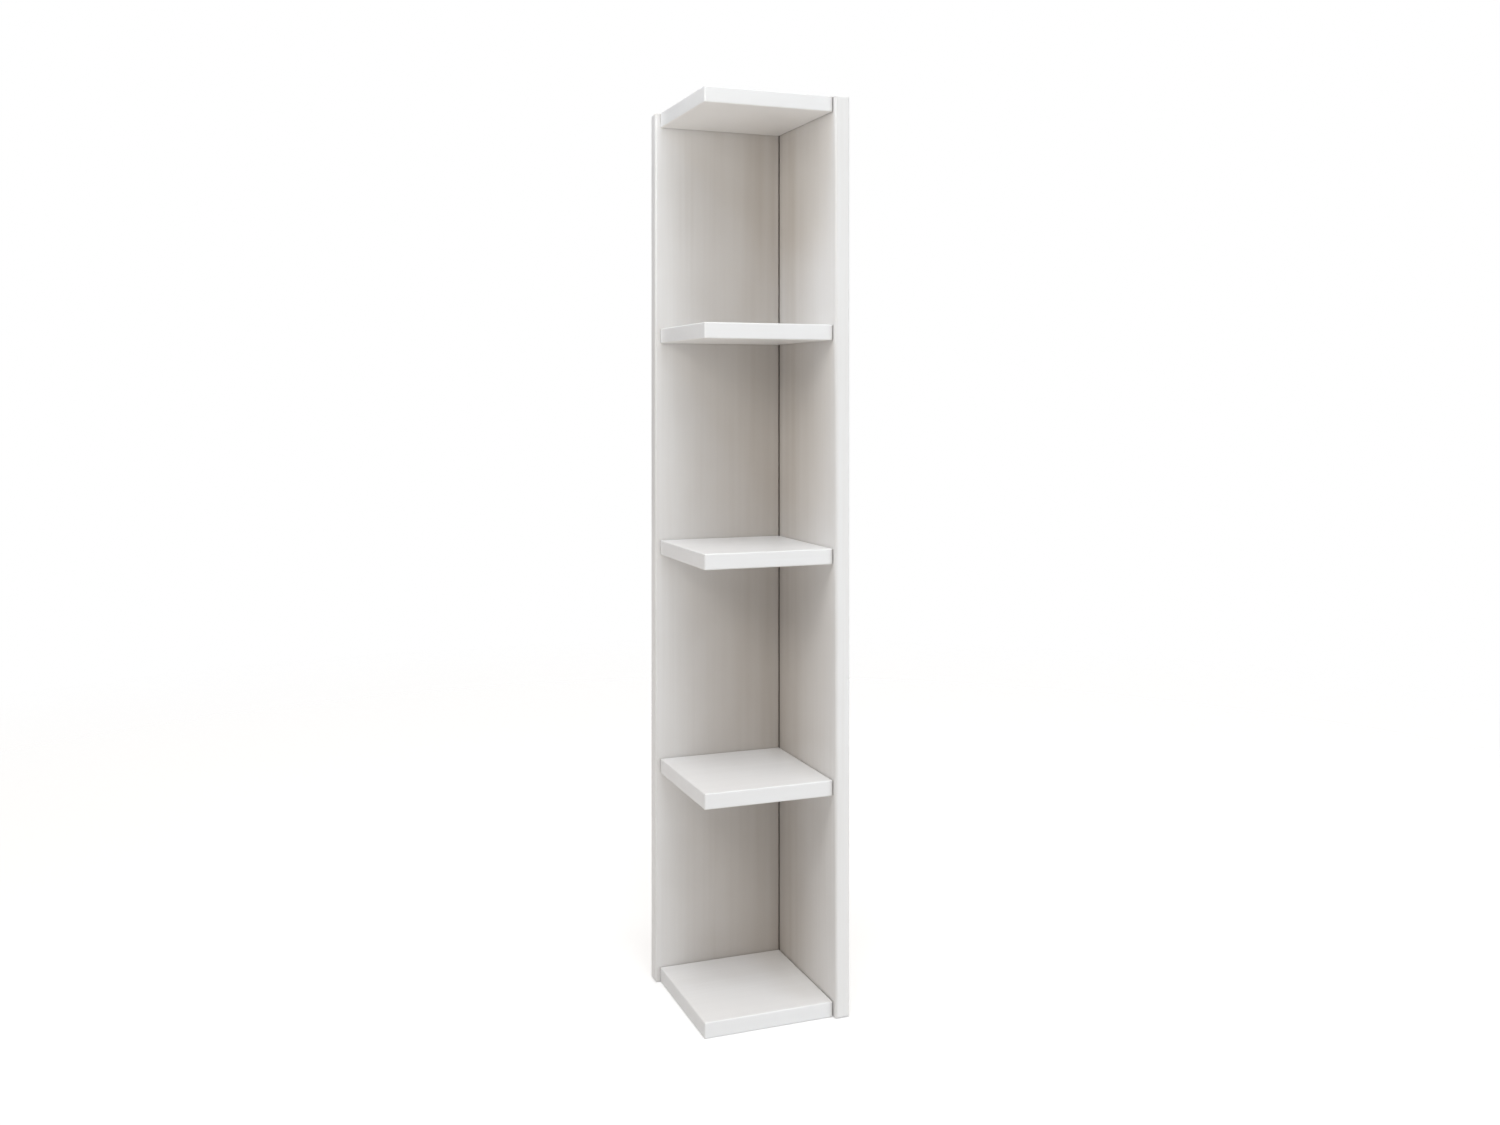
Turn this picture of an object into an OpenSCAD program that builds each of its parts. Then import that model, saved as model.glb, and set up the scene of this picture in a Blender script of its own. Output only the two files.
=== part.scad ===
// Miniature open corner bookcase, 1:12 scale.
//
// Two tall panels meet in an L and carry five boards between them: a bottom board, three
// shelves and a top board. Every board is softened along the edges that show and crisp along
// its joints, and butts square against its neighbour, glued and held by fine brads driven in
// from the outer faces of the two panels.
//
// Frame: +Z up, +X to the right, +Y to the back. The origin is the centre of the footprint,
// at floor level. The open sides are the front and the left.

/* [Boards] */
// Thickness of every board: a 2.5 mm sheet with its coat
board_t = 2.6; // [2:0.1:3]
// Radius of the panels' softened arrises
panel_r = 0.45; // [0.2:0.05:0.6]
// Radius of the shelves' softened arrises
shelf_r = 0.25; // [0.2:0.05:0.6]
// Radius of the arrises that lie in a joint
joint_r = 0.2; // [0.1:0.05:0.3]

/* [Shelves] */
// Width of a shelf, left to right
shelf_w = 22.2; // [16:0.1:40]
// Depth of a shelf, front to back
shelf_d = 23.3; // [16:0.1:40]
// Rise from the underside of the bottom board to that of the lower shelf
rise_1 = 36; // [20:0.1:60]
// Rise from the underside of the lower shelf to that of the middle shelf
rise_2 = 37.7; // [20:0.1:60]
// Rise from the underside of the middle shelf to that of the upper shelf
rise_3 = 36.5; // [20:0.1:60]
// Rise from the underside of the upper shelf to that of the top board
rise_4 = 37.2; // [20:0.1:60]

/* [Panels] */
// How far the back panel stands out past the shelves at the left
left_reveal = 0.9; // [0.5:0.1:2]
// How far the side panel stands out past the shelves at the front
front_reveal = 0.9; // [0.5:0.1:2]

/* [Brads] */
// Diameter of a brad's shank
brad_d = 0.7; // [0.5:0.05:0.8]
// Length of a brad, head to point
brad_l = 6.5; // [5:0.5:7]
// Diameter of a brad's head
head_d = 1.2; // [0.9:0.1:1.4]
// Distance from the end of a joint to its nearest brad
brad_inset = 5.5; // [5.5:0.1:7]

/* [Hidden] */
$fn = 48;
head_t = 0.3;      // thickness of a brad's head
head_set = 0.1;    // depth of the head below the outer face
point_l = 0.8;     // length of the tapered point
point_r = 0.08;    // radius left at the tip of the point
brad_fit = 0.01;   // clearance round a brad in its hole
over = 1;          // overrun of a cutter past the face that it opens

paint = [0.93, 0.925, 0.915];
steel = [0.62, 0.62, 0.63];

// Undersides of the five boards, from the bottom up
rises = [rise_1, rise_2, rise_3, rise_4];
function sum_to(n) = n == 0 ? 0 : rises[n - 1] + sum_to(n - 1);
levels = [for (n = [0 : len(rises)]) sum_to(n)];
overall_h = sum_to(len(rises)) + board_t;

// Outer faces and the two inner faces that the shelves butt against
overall_w = left_reveal + shelf_w + board_t;
overall_d = front_reveal + shelf_d + board_t;
left_x = -overall_w / 2;
right_x = overall_w / 2;
front_y = -overall_d / 2;
rear_y = overall_d / 2;
inner_x = right_x - board_t;
inner_y = rear_y - board_t;
shelf_left_x = inner_x - shelf_w;
shelf_front_y = inner_y - shelf_d;

// Brad places along the two kinds of joint, and up the corner joint, two to a bay
back_brads_x = [shelf_left_x + brad_inset, inner_x - brad_inset];
side_brads_y = [shelf_front_y + brad_inset, inner_y - brad_inset];
corner_brads_z = [for (n = [0 : len(rises) - 1], share = [0.3, 0.7])
    levels[n] + board_t + share * (rises[n] - board_t)];

// A rectangle from the origin, with the radii r of its corners anticlockwise from the origin
module soft_rectangle(w, h, r) {
    polygon([
        [r[0], 0], [w - r[1], 0], [w, r[1]], [w, h - r[2]],
        [w - r[2], h], [r[3], h], [0, h - r[3]], [0, r[0]]
    ]);
    translate([r[0], r[0]]) circle(r[0]);
    translate([w - r[1], r[1]]) circle(r[1]);
    translate([w - r[2], h - r[2]]) circle(r[2]);
    translate([r[3], h - r[3]]) circle(r[3]);
}

// A board from the origin with its twelve arrises rounded. plan has the radii of the upright
// arrises, from the front left to the rear left; front has those that run front to back, and
// side those that run left to right, each from the bottom and anticlockwise.
module soft_board(size, plan, front, side) {
    intersection() {
        linear_extrude(size.z) soft_rectangle(size.x, size.y, plan);
        translate([0, size.y, 0]) rotate([90, 0, 0])
            linear_extrude(size.y) soft_rectangle(size.x, size.z, front);
        rotate([90, 0, 90])
            linear_extrude(size.x) soft_rectangle(size.y, size.z, side);
    }
}

// A brad driven along +Z from an outer face at z = 0
module brad() {
    translate([0, 0, head_set]) cylinder(d = head_d, h = head_t);
    translate([0, 0, head_set]) cylinder(d = brad_d, h = brad_l - point_l);
    translate([0, 0, head_set + brad_l - point_l])
        cylinder(r1 = brad_d / 2, r2 = point_r, h = point_l);
}

// The hole that a brad and its punched-in head leave
module brad_hole() {
    translate([0, 0, -over])
        cylinder(d = head_d + 2 * brad_fit, h = over + head_set + head_t + brad_fit);
    cylinder(d = brad_d + 2 * brad_fit, h = head_set + brad_l + brad_fit);
}

// Children at each brad through the back panel, at height z, pointing to the front
module at_back_brads(z) {
    for (x = back_brads_x)
        translate([x, rear_y, z]) rotate([90, 0, 0]) children();
}

// Children at each brad through the side panel, at height z, pointing to the left
module at_side_brads(z) {
    for (y = side_brads_y)
        translate([right_x, y, z]) rotate([0, -90, 0]) children();
}

// Children at each brad through the side panel into the back panel's edge
module at_corner_brads() {
    for (z = corner_brads_z)
        translate([right_x, inner_y + board_t / 2, z]) rotate([0, -90, 0]) children();
}

function brad_z(level) = levels[level] + board_t / 2;

module back_panel() {
    color(paint) difference() {
        translate([left_x, inner_y, 0])
            soft_board([inner_x - left_x, board_t, overall_h],
                plan = [panel_r, joint_r, joint_r, panel_r],
                front = [panel_r, joint_r, joint_r, panel_r],
                side = [joint_r, panel_r, panel_r, joint_r]);
        for (level = [0 : len(rises)]) at_back_brads(brad_z(level)) brad_hole();
        at_corner_brads() brad_hole();
    }
}

module side_panel() {
    color(paint) difference() {
        translate([inner_x, front_y, 0])
            soft_board([board_t, overall_d, overall_h],
                plan = [panel_r, panel_r, panel_r, joint_r],
                front = [joint_r, panel_r, panel_r, joint_r],
                side = [panel_r, panel_r, panel_r, panel_r]);
        for (level = [0 : len(rises)]) at_side_brads(brad_z(level)) brad_hole();
        at_corner_brads() brad_hole();
    }
}

module shelf_board(level) {
    color(paint) difference() {
        translate([shelf_left_x, shelf_front_y, levels[level]])
            soft_board([shelf_w, shelf_d, board_t],
                plan = [shelf_r, shelf_r, joint_r, joint_r],
                front = [shelf_r, joint_r, joint_r, shelf_r],
                side = [shelf_r, joint_r, joint_r, shelf_r]);
        at_back_brads(brad_z(level)) brad_hole();
        at_side_brads(brad_z(level)) brad_hole();
    }
}

module shelf_brads(level) {
    color(steel) {
        at_back_brads(brad_z(level)) brad();
        at_side_brads(brad_z(level)) brad();
    }
}

module corner_brads() {
    color(steel) at_corner_brads() brad();
}

back_panel();
side_panel();
shelf_board(0);  // bottom_board
shelf_board(1);  // lower_shelf
shelf_board(2);  // middle_shelf
shelf_board(3);  // upper_shelf
shelf_board(4);  // top_board
corner_brads();
shelf_brads(0);  // bottom_board_brads
shelf_brads(1);  // lower_shelf_brads
shelf_brads(2);  // middle_shelf_brads
shelf_brads(3);  // upper_shelf_brads
shelf_brads(4);  // top_board_brads
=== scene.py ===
import math

import bmesh
import bpy
from mathutils import Matrix, Vector, noise


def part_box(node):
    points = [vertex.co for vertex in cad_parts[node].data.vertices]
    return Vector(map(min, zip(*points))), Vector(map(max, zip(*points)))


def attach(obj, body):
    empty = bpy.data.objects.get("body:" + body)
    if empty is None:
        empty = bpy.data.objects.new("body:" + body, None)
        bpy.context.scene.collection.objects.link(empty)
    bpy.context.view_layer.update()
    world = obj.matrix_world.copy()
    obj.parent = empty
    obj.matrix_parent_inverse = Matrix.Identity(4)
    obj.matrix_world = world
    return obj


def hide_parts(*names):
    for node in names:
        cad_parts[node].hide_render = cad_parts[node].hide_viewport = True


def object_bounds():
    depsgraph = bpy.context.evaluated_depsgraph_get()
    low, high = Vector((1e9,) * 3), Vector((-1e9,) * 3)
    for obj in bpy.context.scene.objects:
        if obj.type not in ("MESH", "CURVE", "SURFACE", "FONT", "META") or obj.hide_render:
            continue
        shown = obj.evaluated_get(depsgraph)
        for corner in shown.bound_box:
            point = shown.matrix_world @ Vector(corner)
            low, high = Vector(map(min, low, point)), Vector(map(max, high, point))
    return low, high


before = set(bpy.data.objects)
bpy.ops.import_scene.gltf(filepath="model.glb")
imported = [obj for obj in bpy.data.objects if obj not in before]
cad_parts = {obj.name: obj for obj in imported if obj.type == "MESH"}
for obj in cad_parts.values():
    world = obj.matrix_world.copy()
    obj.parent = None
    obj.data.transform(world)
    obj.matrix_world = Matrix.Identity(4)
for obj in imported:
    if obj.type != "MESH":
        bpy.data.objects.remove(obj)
cad_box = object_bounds()

# Looks of the miniature corner bookcase. Metres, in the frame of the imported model: +Z up, +X to
# the side panel, +Y to the back panel, the open sides at the front (-Y) and the left (-X).
# Each board is rebuilt at the size of its CAD node with finely rounded arrises and the gentle
# waves of a hand-sprayed coat, and each brad with a domed head.

MM = 0.001

# ---------------------------------------------------------------- boards
PANELS = ["back_panel", "side_panel"]
SHELVES = ["bottom_board", "lower_shelf", "middle_shelf", "upper_shelf", "top_board"]
BRAD_GROUPS = ["corner_brads"] + [name + "_brads" for name in SHELVES]

PANEL_ARRIS = 0.45 * MM  # radii of the rounded arrises, as in the CAD model
SHELF_ARRIS = 0.25 * MM
JOINT_ARRIS = 0.2 * MM
# The arrises that lie in a joint, each named after the two faces that meet in it
SHELF_JOINTS = ["-X+Y", "+X+Y", "+X-Z", "+X+Z", "+Y-Z", "+Y+Z"]
PANEL_JOINTS = {
    "back_panel": ["+X-Y", "+X+Y", "+X-Z", "+X+Z", "-Y-Z", "-Y+Z"],
    "side_panel": ["-X+Y", "-X-Z", "-X+Z"],
}

# The faces that butt against another board, drawn in to leave the hairline of a glued joint
BUTTED = {"back_panel": "X", "side_panel": ""}
SHELF_BUTTED = "XY"
HAIRLINE = 0.05 * MM

ARRIS_STEPS = 5          # facets from the middle of an arris to either face
LEAST_STEP = 0.02 * MM   # least distance between two grid lines
GUARD = 0.12 * MM        # width of the last flat strip, which keeps the flat's shading flat
CELL = 0.75 * MM         # grid of the flats
TIP_PASSES = 3           # smoothing passes over the tips of the corners
WAVE_LENGTH = 9 * MM     # long waves of the coat
WAVE_DEPTH = 0.03 * MM
RIPPLE_LENGTH = 3 * MM   # short waves
RIPPLE_DEPTH = 0.008 * MM
SHARP_ANGLE = math.radians(35)


def grid_lines(low, high, radii):
    """Grid lines along one axis: turns round the arrises, then a guard strip and even cells."""
    turns = sorted(radius * (1 - math.tan(math.pi / 4 * (1 - step / ARRIS_STEPS)))
                   for radius in radii for step in range(ARRIS_STEPS + 1))
    ends = [0.0]
    for turn in turns:
        if turn - ends[-1] > LEAST_STEP:
            ends.append(turn)
    ends.append(max(radii) + GUARD)
    inner_low, inner_high = low + ends[-1], high - ends[-1]
    cells = max(1, round((inner_high - inner_low) / CELL))
    between = [inner_low + (inner_high - inner_low) * k / cells for k in range(1, cells)]
    return [low + e for e in ends] + between + [high - e for e in reversed(ends)]


def arris_radius(node, first, second):
    """Radius of the arris where two faces of a board meet, such as "-X" and "+Z"."""
    if first + second in PANEL_JOINTS.get(node, SHELF_JOINTS):
        return JOINT_ARRIS
    return PANEL_ARRIS if node in PANELS else SHELF_ARRIS


def softened(point, low, high, node):
    """(point on the rounded board for one on its sharp box, number of arrises it turns round)"""
    point = point.copy()
    turned = 0
    for a, b in ((0, 1), (0, 2), (1, 2)):
        upper = [point[axis] > (low[axis] + high[axis]) / 2 for axis in (a, b)]
        faces = ["+" if up else "-" for up in upper]
        radius = arris_radius(node, faces[0] + "XYZ"[a], faces[1] + "XYZ"[b])
        middle = [high[axis] - radius if up else low[axis] + radius
                  for axis, up in zip((a, b), upper)]
        out = Vector((point[a] - middle[0], point[b] - middle[1]))
        beyond = [o > 0 if up else o < 0 for o, up in zip(out, upper)]
        if all(beyond):
            out *= min(1, radius / out.length)
            point[a], point[b] = middle[0] + out.x, middle[1] + out.y
            turned += 1
    return point, turned


def coat_depth(point, seed):
    """How far the coat's surface lies under the full size at a point, never above it."""
    shift = Vector((seed, 2 * seed, 3 * seed))
    wave = 0.5 + 0.5 * noise.noise(point / WAVE_LENGTH + shift)
    ripple = 0.5 + 0.5 * noise.noise(point / RIPPLE_LENGTH - shift)
    return WAVE_DEPTH * wave + RIPPLE_DEPTH * ripple


def board_mesh(node, seed):
    """A board as a closed box of quads: every arris rounded, its faces gently wavy."""
    low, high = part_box(node)
    for axis, name in enumerate("XYZ"):
        if name in BUTTED.get(node, SHELF_BUTTED):
            high[axis] -= HAIRLINE
    radii = [JOINT_ARRIS, PANEL_ARRIS if node in PANELS else SHELF_ARRIS]
    lines = [grid_lines(a, b, radii) for a, b in zip(low, high)]
    last = [len(line) - 1 for line in lines]
    mesh = bmesh.new()
    verts, tips = {}, []

    def vert(key):
        if key not in verts:
            corner = Vector([lines[axis][key[axis]] for axis in range(3)])
            point, turned = softened(corner, low, high, node)
            verts[key] = mesh.verts.new(point)
            if turned > 1:
                tips.append(verts[key])
        return verts[key]

    for axis in range(3):
        u, v = (axis + 1) % 3, (axis + 2) % 3
        for side in (0, last[axis]):
            for i in range(last[u]):
                for j in range(last[v]):
                    corners = [(i, j), (i + 1, j), (i + 1, j + 1), (i, j + 1)]
                    if side == 0:
                        corners.reverse()
                    keys = []
                    for a, b in corners:
                        key = [0, 0, 0]
                        key[axis], key[u], key[v] = side, a, b
                        keys.append(tuple(key))
                    mesh.faces.new([vert(key) for key in keys])
    for _ in range(TIP_PASSES):
        bmesh.ops.smooth_vert(mesh, verts=tips, factor=0.5,
                              use_axis_x=True, use_axis_y=True, use_axis_z=True)
    mesh.normal_update()
    inward = [-vert.normal * coat_depth(vert.co, seed) for vert in mesh.verts]
    for vert, move in zip(mesh.verts, inward):
        vert.co += move
    return mesh


def finish_mesh(mesh, name):
    """The bmesh as an object, smooth but for its sharp edges."""
    bmesh.ops.recalc_face_normals(mesh, faces=mesh.faces)
    data = bpy.data.meshes.new(name)
    mesh.to_mesh(data)
    mesh.free()
    data.shade_smooth()
    data.set_sharp_from_angle(angle=SHARP_ANGLE)
    piece = bpy.data.objects.new(name, data)
    bpy.context.scene.collection.objects.link(piece)
    return piece


# ---------------------------------------------------------------- brads and their holes
TURN_STEPS = 28
SHANK_R = 0.35 * MM
HEAD_R = 0.6 * MM
HEAD_T = 0.3 * MM
HEAD_SET = 0.1 * MM      # how far the head is punched in below the outer face
POINT_L = 0.8 * MM
POINT_R = 0.08 * MM
HOLE_GAP = 0.01 * MM
MOUTH = 0.09 * MM        # roll of the coat into the mouth of a hole
PAINTED_DEPTH = HEAD_SET + 0.6 * HEAD_T


def loose_boxes(node):
    """Lowest and highest corner of each separate solid of a CAD node."""
    mesh = bmesh.new()
    mesh.from_mesh(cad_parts[node].data)
    bmesh.ops.remove_doubles(mesh, verts=mesh.verts, dist=0.001 * MM)
    waiting = set(mesh.verts)
    boxes = []
    while waiting:
        island, edge_of = [], [waiting.pop()]
        while edge_of:
            vert = edge_of.pop()
            island.append(vert.co.copy())
            for edge in vert.link_edges:
                other = edge.other_vert(vert)
                if other in waiting:
                    waiting.remove(other)
                    edge_of.append(other)
        boxes.append((Vector([min(c[k] for c in island) for k in range(3)]),
                      Vector([max(c[k] for c in island) for k in range(3)])))
    mesh.free()
    return sorted(boxes, key=lambda box: tuple(round(c, 6) for c in box[0]))


def brad_place(box):
    """(matrix, length) of a brad: its Z runs from the head to the point, from the head's top."""
    low, high = box
    size = high - low
    along = 0 if size.x > size.y else 1
    head = (low + high) / 2
    head[along] = high[along]
    inward = Vector((-1, 0, 0)) if along == 0 else Vector((0, -1, 0))
    turn = Vector((0, 0, 1)).rotation_difference(inward).to_matrix().to_4x4()
    return Matrix.Translation(head) @ turn, size[along]


def lathe(mesh, profile, place):
    """Adds a closed turned solid: profile is (radius, distance along Z), from axis to axis."""
    rings = []
    for radius, along in profile:
        if radius == 0:
            rings.append([mesh.verts.new(place @ Vector((0, 0, along)))])
            continue
        turns = [2 * math.pi * k / TURN_STEPS for k in range(TURN_STEPS)]
        rings.append([mesh.verts.new(place @ Vector((radius * math.cos(t), radius * math.sin(t), along)))
                      for t in turns])
    for ring, following in zip(rings, rings[1:]):
        for k in range(TURN_STEPS):
            here = [ring[k % len(ring)], ring[(k + 1) % TURN_STEPS % len(ring)]]
            there = [following[(k + 1) % TURN_STEPS % len(following)], following[k % len(following)]]
            mesh.faces.new(list(dict.fromkeys(here + there)))


def brad_profile(length):
    """A wire brad: a domed head with a rolled rim, a straight shank and a ground point."""
    dome = [(0, 0), (0.45 * HEAD_R, 0.03 * HEAD_T), (0.75 * HEAD_R, 0.12 * HEAD_T),
            (0.92 * HEAD_R, 0.3 * HEAD_T), (HEAD_R, 0.55 * HEAD_T), (0.96 * HEAD_R, 0.9 * HEAD_T),
            (0.88 * HEAD_R, HEAD_T)]
    shank = [(SHANK_R, HEAD_T), (SHANK_R, length - POINT_L)]
    return dome + shank + [(POINT_R, length), (0, length)]


def hole_profile(length):
    """The hole of a brad, measured like the brad from the head's top, with a rolled mouth."""
    wide, narrow = HEAD_R + HOLE_GAP, SHANK_R + HOLE_GAP
    mouth = [(wide + MOUTH * (1 - math.sin(t)), -HEAD_SET + MOUTH * (1 - math.cos(t)))
             for t in [math.radians(a) for a in (0, 20, 40, 60, 80)]]
    above = [(0, -HEAD_SET - 3 * MOUTH), (mouth[0][0] + MOUTH, -HEAD_SET - 3 * MOUTH),
             (mouth[0][0] + MOUTH, -HEAD_SET)]
    seat = [(wide, HEAD_T + HOLE_GAP), (narrow, HEAD_T + HOLE_GAP)]
    return above + mouth[1:] + seat + [(narrow, length + HOLE_GAP), (0, length + HOLE_GAP)]


def boxes_meet(a, b):
    """Whether two (lowest corner, highest corner) pairs overlap."""
    return all(a[0][k] < b[1][k] and b[0][k] < a[1][k] for k in range(3))


def cut_brad_holes(piece, node, brads):
    """Drills each brad that reaches into the board."""
    holes = bmesh.new()
    found = 0
    for box in brads:
        if boxes_meet(box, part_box(node)):
            place, length = brad_place(box)
            lathe(holes, hole_profile(length), place)
            found += 1
    if found == 0:
        holes.free()
        return
    cutter = finish_mesh(holes, "cutter")
    drill = piece.modifiers.new("drill", "BOOLEAN")
    drill.operation, drill.solver, drill.object = "DIFFERENCE", "EXACT", cutter
    graph = bpy.context.evaluated_depsgraph_get()
    drilled = bpy.data.meshes.new_from_object(piece.evaluated_get(graph))
    piece.modifiers.remove(drill)
    piece.data = drilled
    drilled.set_sharp_from_angle(angle=SHARP_ANGLE)
    bpy.data.objects.remove(cutter)


# ---------------------------------------------------------------- materials
# Sizes of the lacquer's features, (across the grain, along it)
BROAD_STREAK = (2.4 * MM, 70 * MM)
FINE_STREAK = (0.55 * MM, 30 * MM)
CLOUD = (14 * MM, 22 * MM)  # slow change from patch to patch
HAZE = (4 * MM, 9 * MM)     # change of gloss
STREAK_RELIEF = 0.0015 * MM
WIRE_MARK = 0.08 * MM       # size of the marks that drawing leaves on wire
WIRE_RELIEF = 0.004 * MM

CORNER_SHADE_REACH = 28 * MM    # distance from the inside corner over which the panels' painted shade fades out
CORNER_SHADE_SHAKE = 2 * MM     # unevenness of that distance
JOINT_SHADE = (0.12, 0.1, 0.085)  # raw board in the shade of a joint
UNDERSIDE_SHADE = (0.89, 0.865, 0.833)  # painted shade on a shelf's underside: a darker, warmer colour
inner_corner = Vector((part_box("side_panel")[0].x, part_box("back_panel")[0].y, 0))


def new_material(name):
    """(material, its nodes, its links, its Principled shader)"""
    material = bpy.data.materials.new(name)
    material.use_nodes = True
    nodes, links = material.node_tree.nodes, material.node_tree.links
    return material, nodes, links, nodes["Principled BSDF"]


def pattern(nodes, links, scale, detail):
    """A noise in the model's frame, with its own scale along X, Y and Z, per metre."""
    place = nodes.new("ShaderNodeTexCoord")
    stretch = nodes.new("ShaderNodeMapping")
    stretch.inputs["Scale"].default_value = scale
    links.new(place.outputs["Object"], stretch.inputs["Vector"])
    grain = nodes.new("ShaderNodeTexNoise")
    grain.inputs["Scale"].default_value = 1.0
    grain.inputs["Detail"].default_value = detail
    links.new(stretch.outputs["Vector"], grain.inputs["Vector"])
    return grain.outputs["Fac"]


def between(nodes, links, factor, low, high, start=0.3, stop=0.7, shape="LINEAR"):
    """The factor's middle range spread over low to high."""
    spread = nodes.new("ShaderNodeMapRange")
    spread.interpolation_type = shape
    spread.inputs["From Min"].default_value = start
    spread.inputs["From Max"].default_value = stop
    spread.inputs["To Min"].default_value = low
    spread.inputs["To Max"].default_value = high
    links.new(factor, spread.inputs["Value"])
    return spread.outputs["Result"]


def blend_colours(nodes, links, factor, first, second):
    """From the first colour to the second as the factor goes from 0 to 1."""
    mix = nodes.new("ShaderNodeMix")
    mix.data_type = "RGBA"
    links.new(factor, mix.inputs["Factor"])
    for socket, value in (("A", first), ("B", second)):
        target = [i for i in mix.inputs if i.name == socket and i.type == "RGBA"][0]
        if isinstance(value, tuple):
            target.default_value = (*value, 1)
        else:
            links.new(value, target)
    return [o for o in mix.outputs if o.type == "RGBA"][0]


def raised(nodes, links, height, depth):
    """Normals for a relief of the given depth in metres."""
    bump = nodes.new("ShaderNodeBump")
    bump.inputs["Strength"].default_value = 1.0
    bump.inputs["Distance"].default_value = depth
    links.new(height, bump.inputs["Height"])
    return bump.outputs["Normal"]


def along_grain(axis, feature):
    """Noise scale per metre for features of this size, with the grain along X, Y or Z."""
    across, along = feature
    return tuple(1 / along if k == axis else 1 / across for k in range(3))


def maths(nodes, links, operation, first, second):
    """A Math node; either input is a socket or a constant."""
    node = nodes.new("ShaderNodeMath")
    node.operation = operation
    for socket, value in zip(node.inputs, (first, second)):
        if isinstance(value, (int, float)):
            socket.default_value = value
        else:
            links.new(value, socket)
    return node.outputs["Value"]


def corner_distances(nodes, links):
    """(distance out of the inside corner, depth behind the two inner faces), in metres.

    The depth is negative in front of both faces, where it is the distance to the nearer one."""
    place = nodes.new("ShaderNodeTexCoord")
    offset = nodes.new("ShaderNodeVectorMath")
    offset.operation = "SUBTRACT"
    offset.inputs[1].default_value = inner_corner
    links.new(place.outputs["Object"], offset.inputs[0])
    parts = nodes.new("ShaderNodeSeparateXYZ")
    links.new(offset.outputs["Vector"], parts.inputs[0])
    depth = maths(nodes, links, "MAXIMUM", parts.outputs["X"], parts.outputs["Y"])
    nearest = maths(nodes, links, "MINIMUM", parts.outputs["X"], parts.outputs["Y"])
    return maths(nodes, links, "MULTIPLY", nearest, -1), depth


def facing_down(nodes, links):
    """0 on every face but an underside, the mask of the painted underside shade."""
    surface = nodes.new("ShaderNodeNewGeometry")
    parts = nodes.new("ShaderNodeSeparateXYZ")
    links.new(surface.outputs["Normal"], parts.inputs[0])
    return between(nodes, links, parts.outputs["Z"], 0, 0.85, start=-0.5, stop=-0.9)


def lacquer(name, grain_axis, pale, deep, corner_shade_colour=None):
    """Satin lacquer over a sanded board, whose grain just shows as streaks from pale to deep.

    It stops short at the joints. Painted shade: a shelf's underside is darker and warmer, and on the
    panels, for which a corner colour is given, the colour darkens and warms towards the inside corner."""
    material, nodes, links, shader = new_material(name)
    broad = pattern(nodes, links, along_grain(grain_axis, BROAD_STREAK), detail=2)
    fine = pattern(nodes, links, along_grain(grain_axis, FINE_STREAK), detail=1)
    cloud = pattern(nodes, links, along_grain(grain_axis, CLOUD), detail=2)
    streaks = blend_colours(nodes, links, between(nodes, links, broad, 0, 0.9), pale, deep)
    lines = blend_colours(nodes, links, between(nodes, links, fine, 0, 0.7), streaks, deep)
    colour = blend_colours(nodes, links, between(nodes, links, cloud, 0, 0.3), lines, pale)
    out, depth = corner_distances(nodes, links)
    if corner_shade_colour is None:
        gap = maths(nodes, links, "MULTIPLY", depth, -1)
        # painted shade: every underside of a shelf darker and warmer
        colour = blend_colours(nodes, links, facing_down(nodes, links), colour, UNDERSIDE_SHADE)
    else:
        # painted shade: the panel's colour darkens and warms towards the inside corner, over a streaky,
        # uneven reach
        streaked_corner_shade = blend_colours(nodes, links, between(nodes, links, broad, 0.85, 0.65), pale, corner_shade_colour)
        behind = between(nodes, links, depth, 0, CORNER_SHADE_REACH,
                         start=1.25 * JOINT_ARRIS, stop=2.25 * JOINT_ARRIS)
        gap = maths(nodes, links, "MAXIMUM", out, behind)
        shake = between(nodes, links, cloud, -CORNER_SHADE_SHAKE, CORNER_SHADE_SHAKE)
        reach = maths(nodes, links, "ADD", gap, shake)
        corner_shade_fade = between(nodes, links, reach, 0, 1, start=0, stop=CORNER_SHADE_REACH, shape="SMOOTHSTEP")
        colour = blend_colours(nodes, links, corner_shade_fade, streaked_corner_shade, colour)
    coated = between(nodes, links, gap, 0, 1, start=0.3 * JOINT_ARRIS, stop=0.8 * JOINT_ARRIS)
    colour = blend_colours(nodes, links, coated, JOINT_SHADE, colour)
    links.new(colour, shader.inputs["Base Color"])
    haze = pattern(nodes, links, along_grain(grain_axis, HAZE), detail=4)
    links.new(between(nodes, links, haze, 0.29, 0.37), shader.inputs["Roughness"])
    links.new(raised(nodes, links, fine, STREAK_RELIEF), shader.inputs["Normal"])
    shader.inputs["IOR"].default_value = 1.5
    shader.inputs["Coat Weight"].default_value = 0.12
    shader.inputs["Coat Roughness"].default_value = 0.12
    return material


def bright_wire(name):
    """Drawn steel wire, finely marked."""
    material, nodes, links, shader = new_material(name)
    marks = pattern(nodes, links, (1 / WIRE_MARK,) * 3, detail=4)
    links.new(blend_colours(nodes, links, between(nodes, links, marks, 0, 1),
                            (0.60, 0.60, 0.61), (0.48, 0.475, 0.47)), shader.inputs["Base Color"])
    links.new(between(nodes, links, marks, 0.28, 0.5), shader.inputs["Roughness"])
    links.new(raised(nodes, links, marks, WIRE_RELIEF), shader.inputs["Normal"])
    shader.inputs["Metallic"].default_value = 1.0
    return material


# ---------------------------------------------------------------- the pieces
GRAIN_X, GRAIN_Z = 0, 2
SEED_STEP = 11.3         # gives each board's coat its own waves
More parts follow.
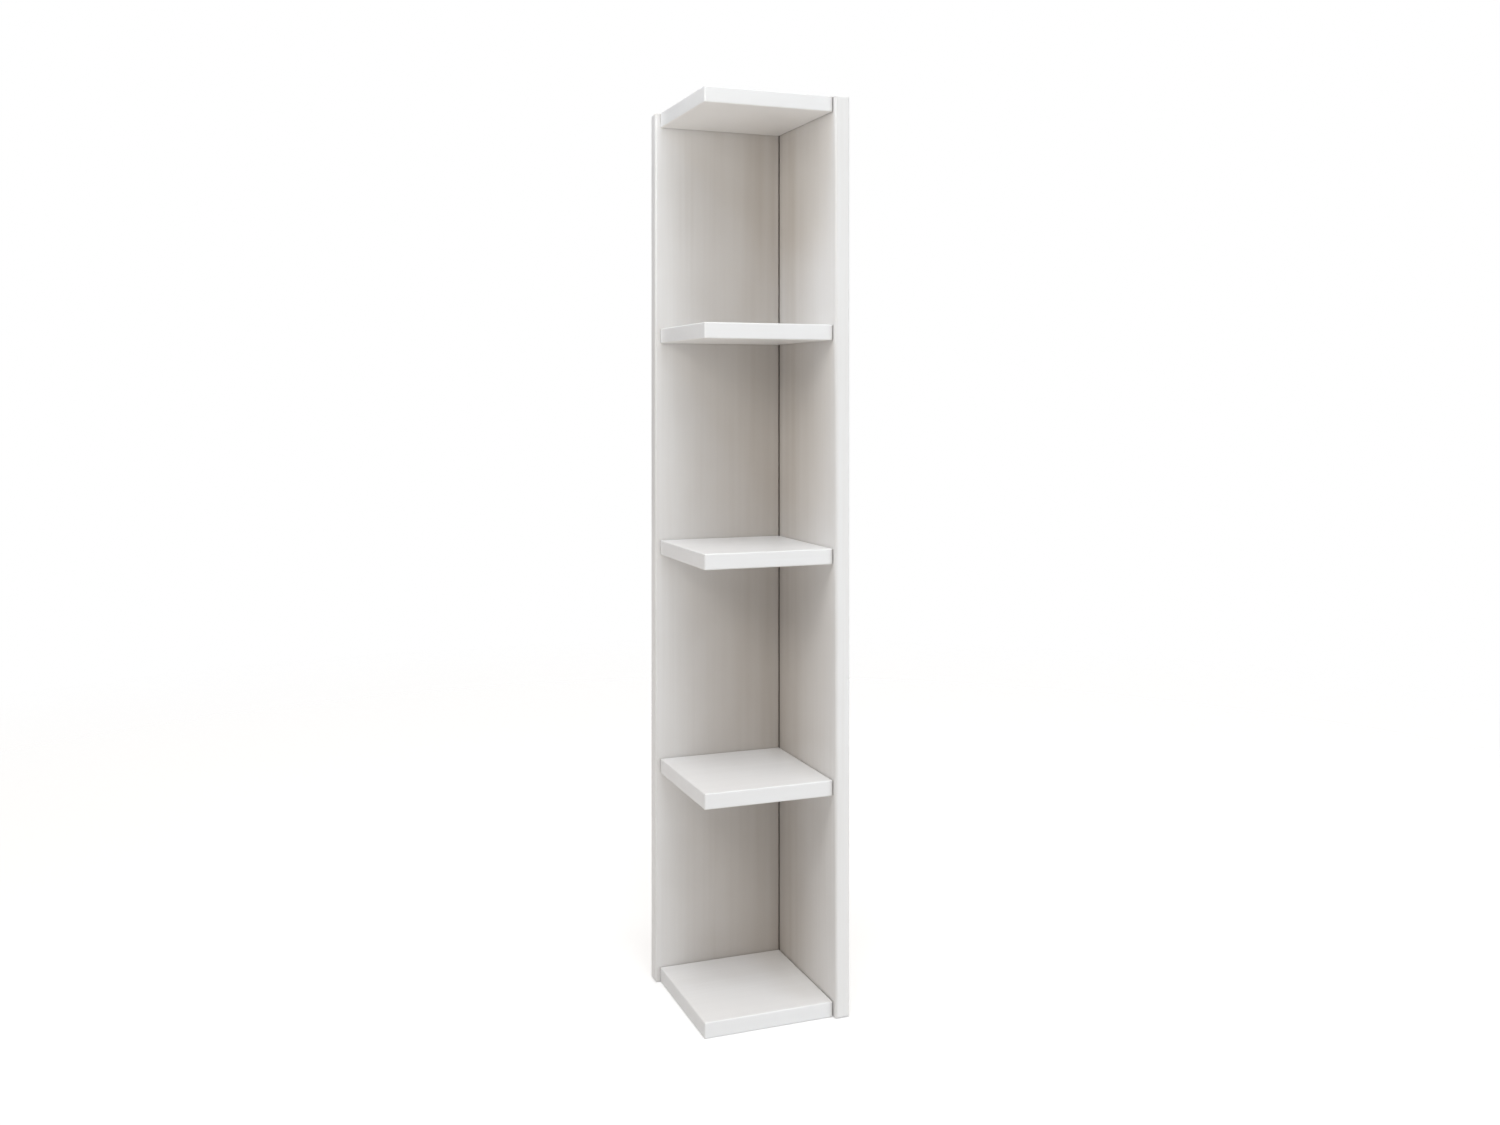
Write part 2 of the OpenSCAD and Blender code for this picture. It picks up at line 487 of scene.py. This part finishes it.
# the panels' last colour is the painted shade at the inside corner
panel_lacquer = lacquer("lacquer_panel", GRAIN_Z, (0.88, 0.872, 0.865), (0.82, 0.804, 0.789),
                        corner_shade_colour=(0.532, 0.484, 0.434))
shelf_lacquer = lacquer("lacquer_shelf", GRAIN_X, (0.878, 0.873, 0.872), (0.848, 0.84, 0.836))
wire = bright_wire("brad_wire")


def make_brads(node):
    """The brads of one group: steel, with the coat over their heads."""
    mesh = bmesh.new()
    for box in loose_boxes(node):
        place, length = brad_place(box)
        lathe(mesh, brad_profile(length), place)
    outer = cad_box[1]
    for face in mesh.faces:
        middle = face.calc_center_median()
        below = min(outer.x - middle.x, outer.y - middle.y)
        face.material_index = 1 if below < PAINTED_DEPTH else 0
    piece = finish_mesh(mesh, node + "_turned")
    piece.data.materials.append(wire)
    piece.data.materials.append(panel_lacquer)
    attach(piece, "root")
    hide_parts(node)


def make_board(node, seed, material, brads):
    """One board, drilled for the brads that reach into it."""
    piece = finish_mesh(board_mesh(node, seed), node + "_lacquered")
    cut_brad_holes(piece, node, brads)
    piece.data.materials.clear()
    piece.data.materials.append(material)
    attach(piece, "root")
    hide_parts(node)


all_brads = [box for group in BRAD_GROUPS for box in loose_boxes(group)]
for number, node in enumerate(PANELS + SHELVES):
    material = panel_lacquer if node in PANELS else shelf_lacquer
    make_board(node, SEED_STEP * (number + 1), material, all_brads)
for group in BRAD_GROUPS:
    make_brads(group)

# ---------------------------------------------------------------- floor, light and camera
height = cad_box[1].z - cad_box[0].z

FLOOR_RADIUS = 0.9
FLOOR_RINGS = 24
FLOOR_TURNS = 96
FLOOR_SPECK = MM / 0.9   # size of the floor's fine mottling
FLOOR_GLOW = 0.35        # added to what the camera sees of the floor, to bring it near white
FADE = (0.08, 0.35)      # distances over which the floor fades out to the camera

SOFTBOX = {"distance": 0.8, "size": 0.3}
LAMP = {"distance": 0.13, "size": 0.06}

# The camera's place from the foot of the inside corner, in shares of the bookcase's height
STAND_BACK = 1.67104
STAND_LEFT = 0.03488
STAND_UP = 0.674
CAMERA_YAW = math.radians(20.97)  # turn from straight ahead towards the right
SENSOR = 24
FOCAL_LENGTH = 30
LENS_SHIFT = -0.1478     # downwards, in shares of the sensor


def make_floor():
    """A pale round floor that fades into the white surroundings."""
    mesh = bmesh.new()
    middle = mesh.verts.new((0, 0, 0))
    before = None
    angles = [2 * math.pi * k / FLOOR_TURNS for k in range(FLOOR_TURNS)]
    for ring in range(1, FLOOR_RINGS + 1):
        size = FLOOR_RADIUS * (ring / FLOOR_RINGS) ** 2
        here = [mesh.verts.new((size * math.cos(a), size * math.sin(a), 0)) for a in angles]
        for k in range(FLOOR_TURNS):
            after = (k + 1) % FLOOR_TURNS
            if before is None:
                mesh.faces.new([middle, here[k], here[after]])
            else:
                mesh.faces.new([before[k], here[k], here[after], before[after]])
        before = here
    floor = finish_mesh(mesh, "floor")
    material, nodes, links, shader = new_material("floor_pale")
    speck = pattern(nodes, links, (1 / FLOOR_SPECK,) * 3, detail=2)
    links.new(blend_colours(nodes, links, speck, (0.76, 0.76, 0.76), (0.74, 0.74, 0.74)),
              shader.inputs["Base Color"])
    shader.inputs["Roughness"].default_value = 0.9
    shader.inputs["Emission Color"].default_value = (1, 1, 1, 1)
    path = nodes.new("ShaderNodeLightPath")
    links.new(maths(nodes, links, "MULTIPLY", path.outputs["Is Camera Ray"], FLOOR_GLOW),
              shader.inputs["Emission Strength"])
    place = nodes.new("ShaderNodeTexCoord")
    reach = nodes.new("ShaderNodeVectorMath")
    reach.operation = "LENGTH"
    links.new(place.outputs["Object"], reach.inputs[0])
    fade = between(nodes, links, reach.outputs["Value"], 1, 0, start=FADE[0], stop=FADE[1])
    unseen = maths(nodes, links, "SUBTRACT", 1, path.outputs["Is Camera Ray"])
    links.new(maths(nodes, links, "MAXIMUM", fade, unseen), shader.inputs["Alpha"])
    floor.data.materials.append(material)


def light_square(name, azimuth, elevation, radiance, distance, size, aim=height / 2, tint=(1, 1, 1)):
    """A square light round a point up the middle: azimuth 0 is in front of it, 90 at its right."""
    a, e = math.radians(azimuth), math.radians(elevation)
    toward = Vector((math.sin(a) * math.cos(e), -math.cos(a) * math.cos(e), math.sin(e)))
    light = bpy.data.lights.new(name, "AREA")
    light.shape = "SQUARE"
    light.size = size
    light.energy = radiance * math.pi * size ** 2
    light.color = tint
    lamp = bpy.data.objects.new(name, light)
    lamp.location = Vector((0, 0, aim)) + toward * distance
    lamp.rotation_mode = "QUATERNION"
    lamp.rotation_quaternion = toward.to_track_quat("Z", "Y")
    bpy.context.scene.collection.objects.link(lamp)


def white_surroundings(level):
    """Even light from above that fades out towards the horizon, and pure white to the camera."""
    world = bpy.data.worlds.new("surroundings")
    world.use_nodes = True
    nodes, links = world.node_tree.nodes, world.node_tree.links
    direction = nodes.new("ShaderNodeTexCoord")
    parts = nodes.new("ShaderNodeSeparateXYZ")
    links.new(direction.outputs["Generated"], parts.inputs[0])
    glow = nodes["Background"]
    glow.inputs["Color"].default_value = (1, 0.935, 0.88, 1)
    links.new(between(nodes, links, parts.outputs["Z"], 0, level, start=0.2, stop=0.5),
              glow.inputs["Strength"])
    seen = nodes.new("ShaderNodeBackground")
    seen.inputs["Color"].default_value = (1, 1, 1, 1)
    seen.inputs["Strength"].default_value = 1.0
    path = nodes.new("ShaderNodeLightPath")
    choose = nodes.new("ShaderNodeMixShader")
    links.new(path.outputs["Is Camera Ray"], choose.inputs["Fac"])
    links.new(glow.outputs["Background"], choose.inputs[1])
    links.new(seen.outputs["Background"], choose.inputs[2])
    links.new(choose.outputs["Shader"], nodes["World Output"].inputs["Surface"])
    bpy.context.scene.world = world


def make_camera():
    """A level camera to the front left, with the lens shifted down to frame the whole height."""
    right = Vector((math.cos(CAMERA_YAW), -math.sin(CAMERA_YAW), 0))
    ahead = Vector((math.sin(CAMERA_YAW), math.cos(CAMERA_YAW), 0))
    stand = inner_corner - (right * STAND_LEFT + ahead * STAND_BACK) * height
    lens = bpy.data.cameras.new("camera")
    lens.sensor_fit = "VERTICAL"
    lens.sensor_width = lens.sensor_height = SENSOR
    lens.lens = FOCAL_LENGTH
    lens.shift_y = LENS_SHIFT
    lens.clip_start, lens.clip_end = 0.01, 10
    camera = bpy.data.objects.new("camera", lens)
    camera.location = stand + Vector((0, 0, STAND_UP * height))
    camera.rotation_euler = (math.pi / 2, 0, -CAMERA_YAW)
    bpy.context.scene.collection.objects.link(camera)
    bpy.context.scene.camera = camera


make_floor()
white_surroundings(0.77)
light_square("overhead", 0, 75, 2.4, **SOFTBOX)
light_square("front", -15, 60, 5.2, **SOFTBOX, tint=(0.86, 0.945, 1))
light_square("right", 45, 5, 7.4, **SOFTBOX, tint=(0.85, 0.935, 1))
light_square("upper_lamp", -80, 0, 13.5, **LAMP, aim=0.28, tint=(0.66, 0.81, 1))
light_square("lower_lamp", -60, 0, 5, **LAMP, aim=0.16, tint=(1, 0.98, 0.93))
make_camera()
bpy.context.scene.view_settings.view_transform = "Standard"
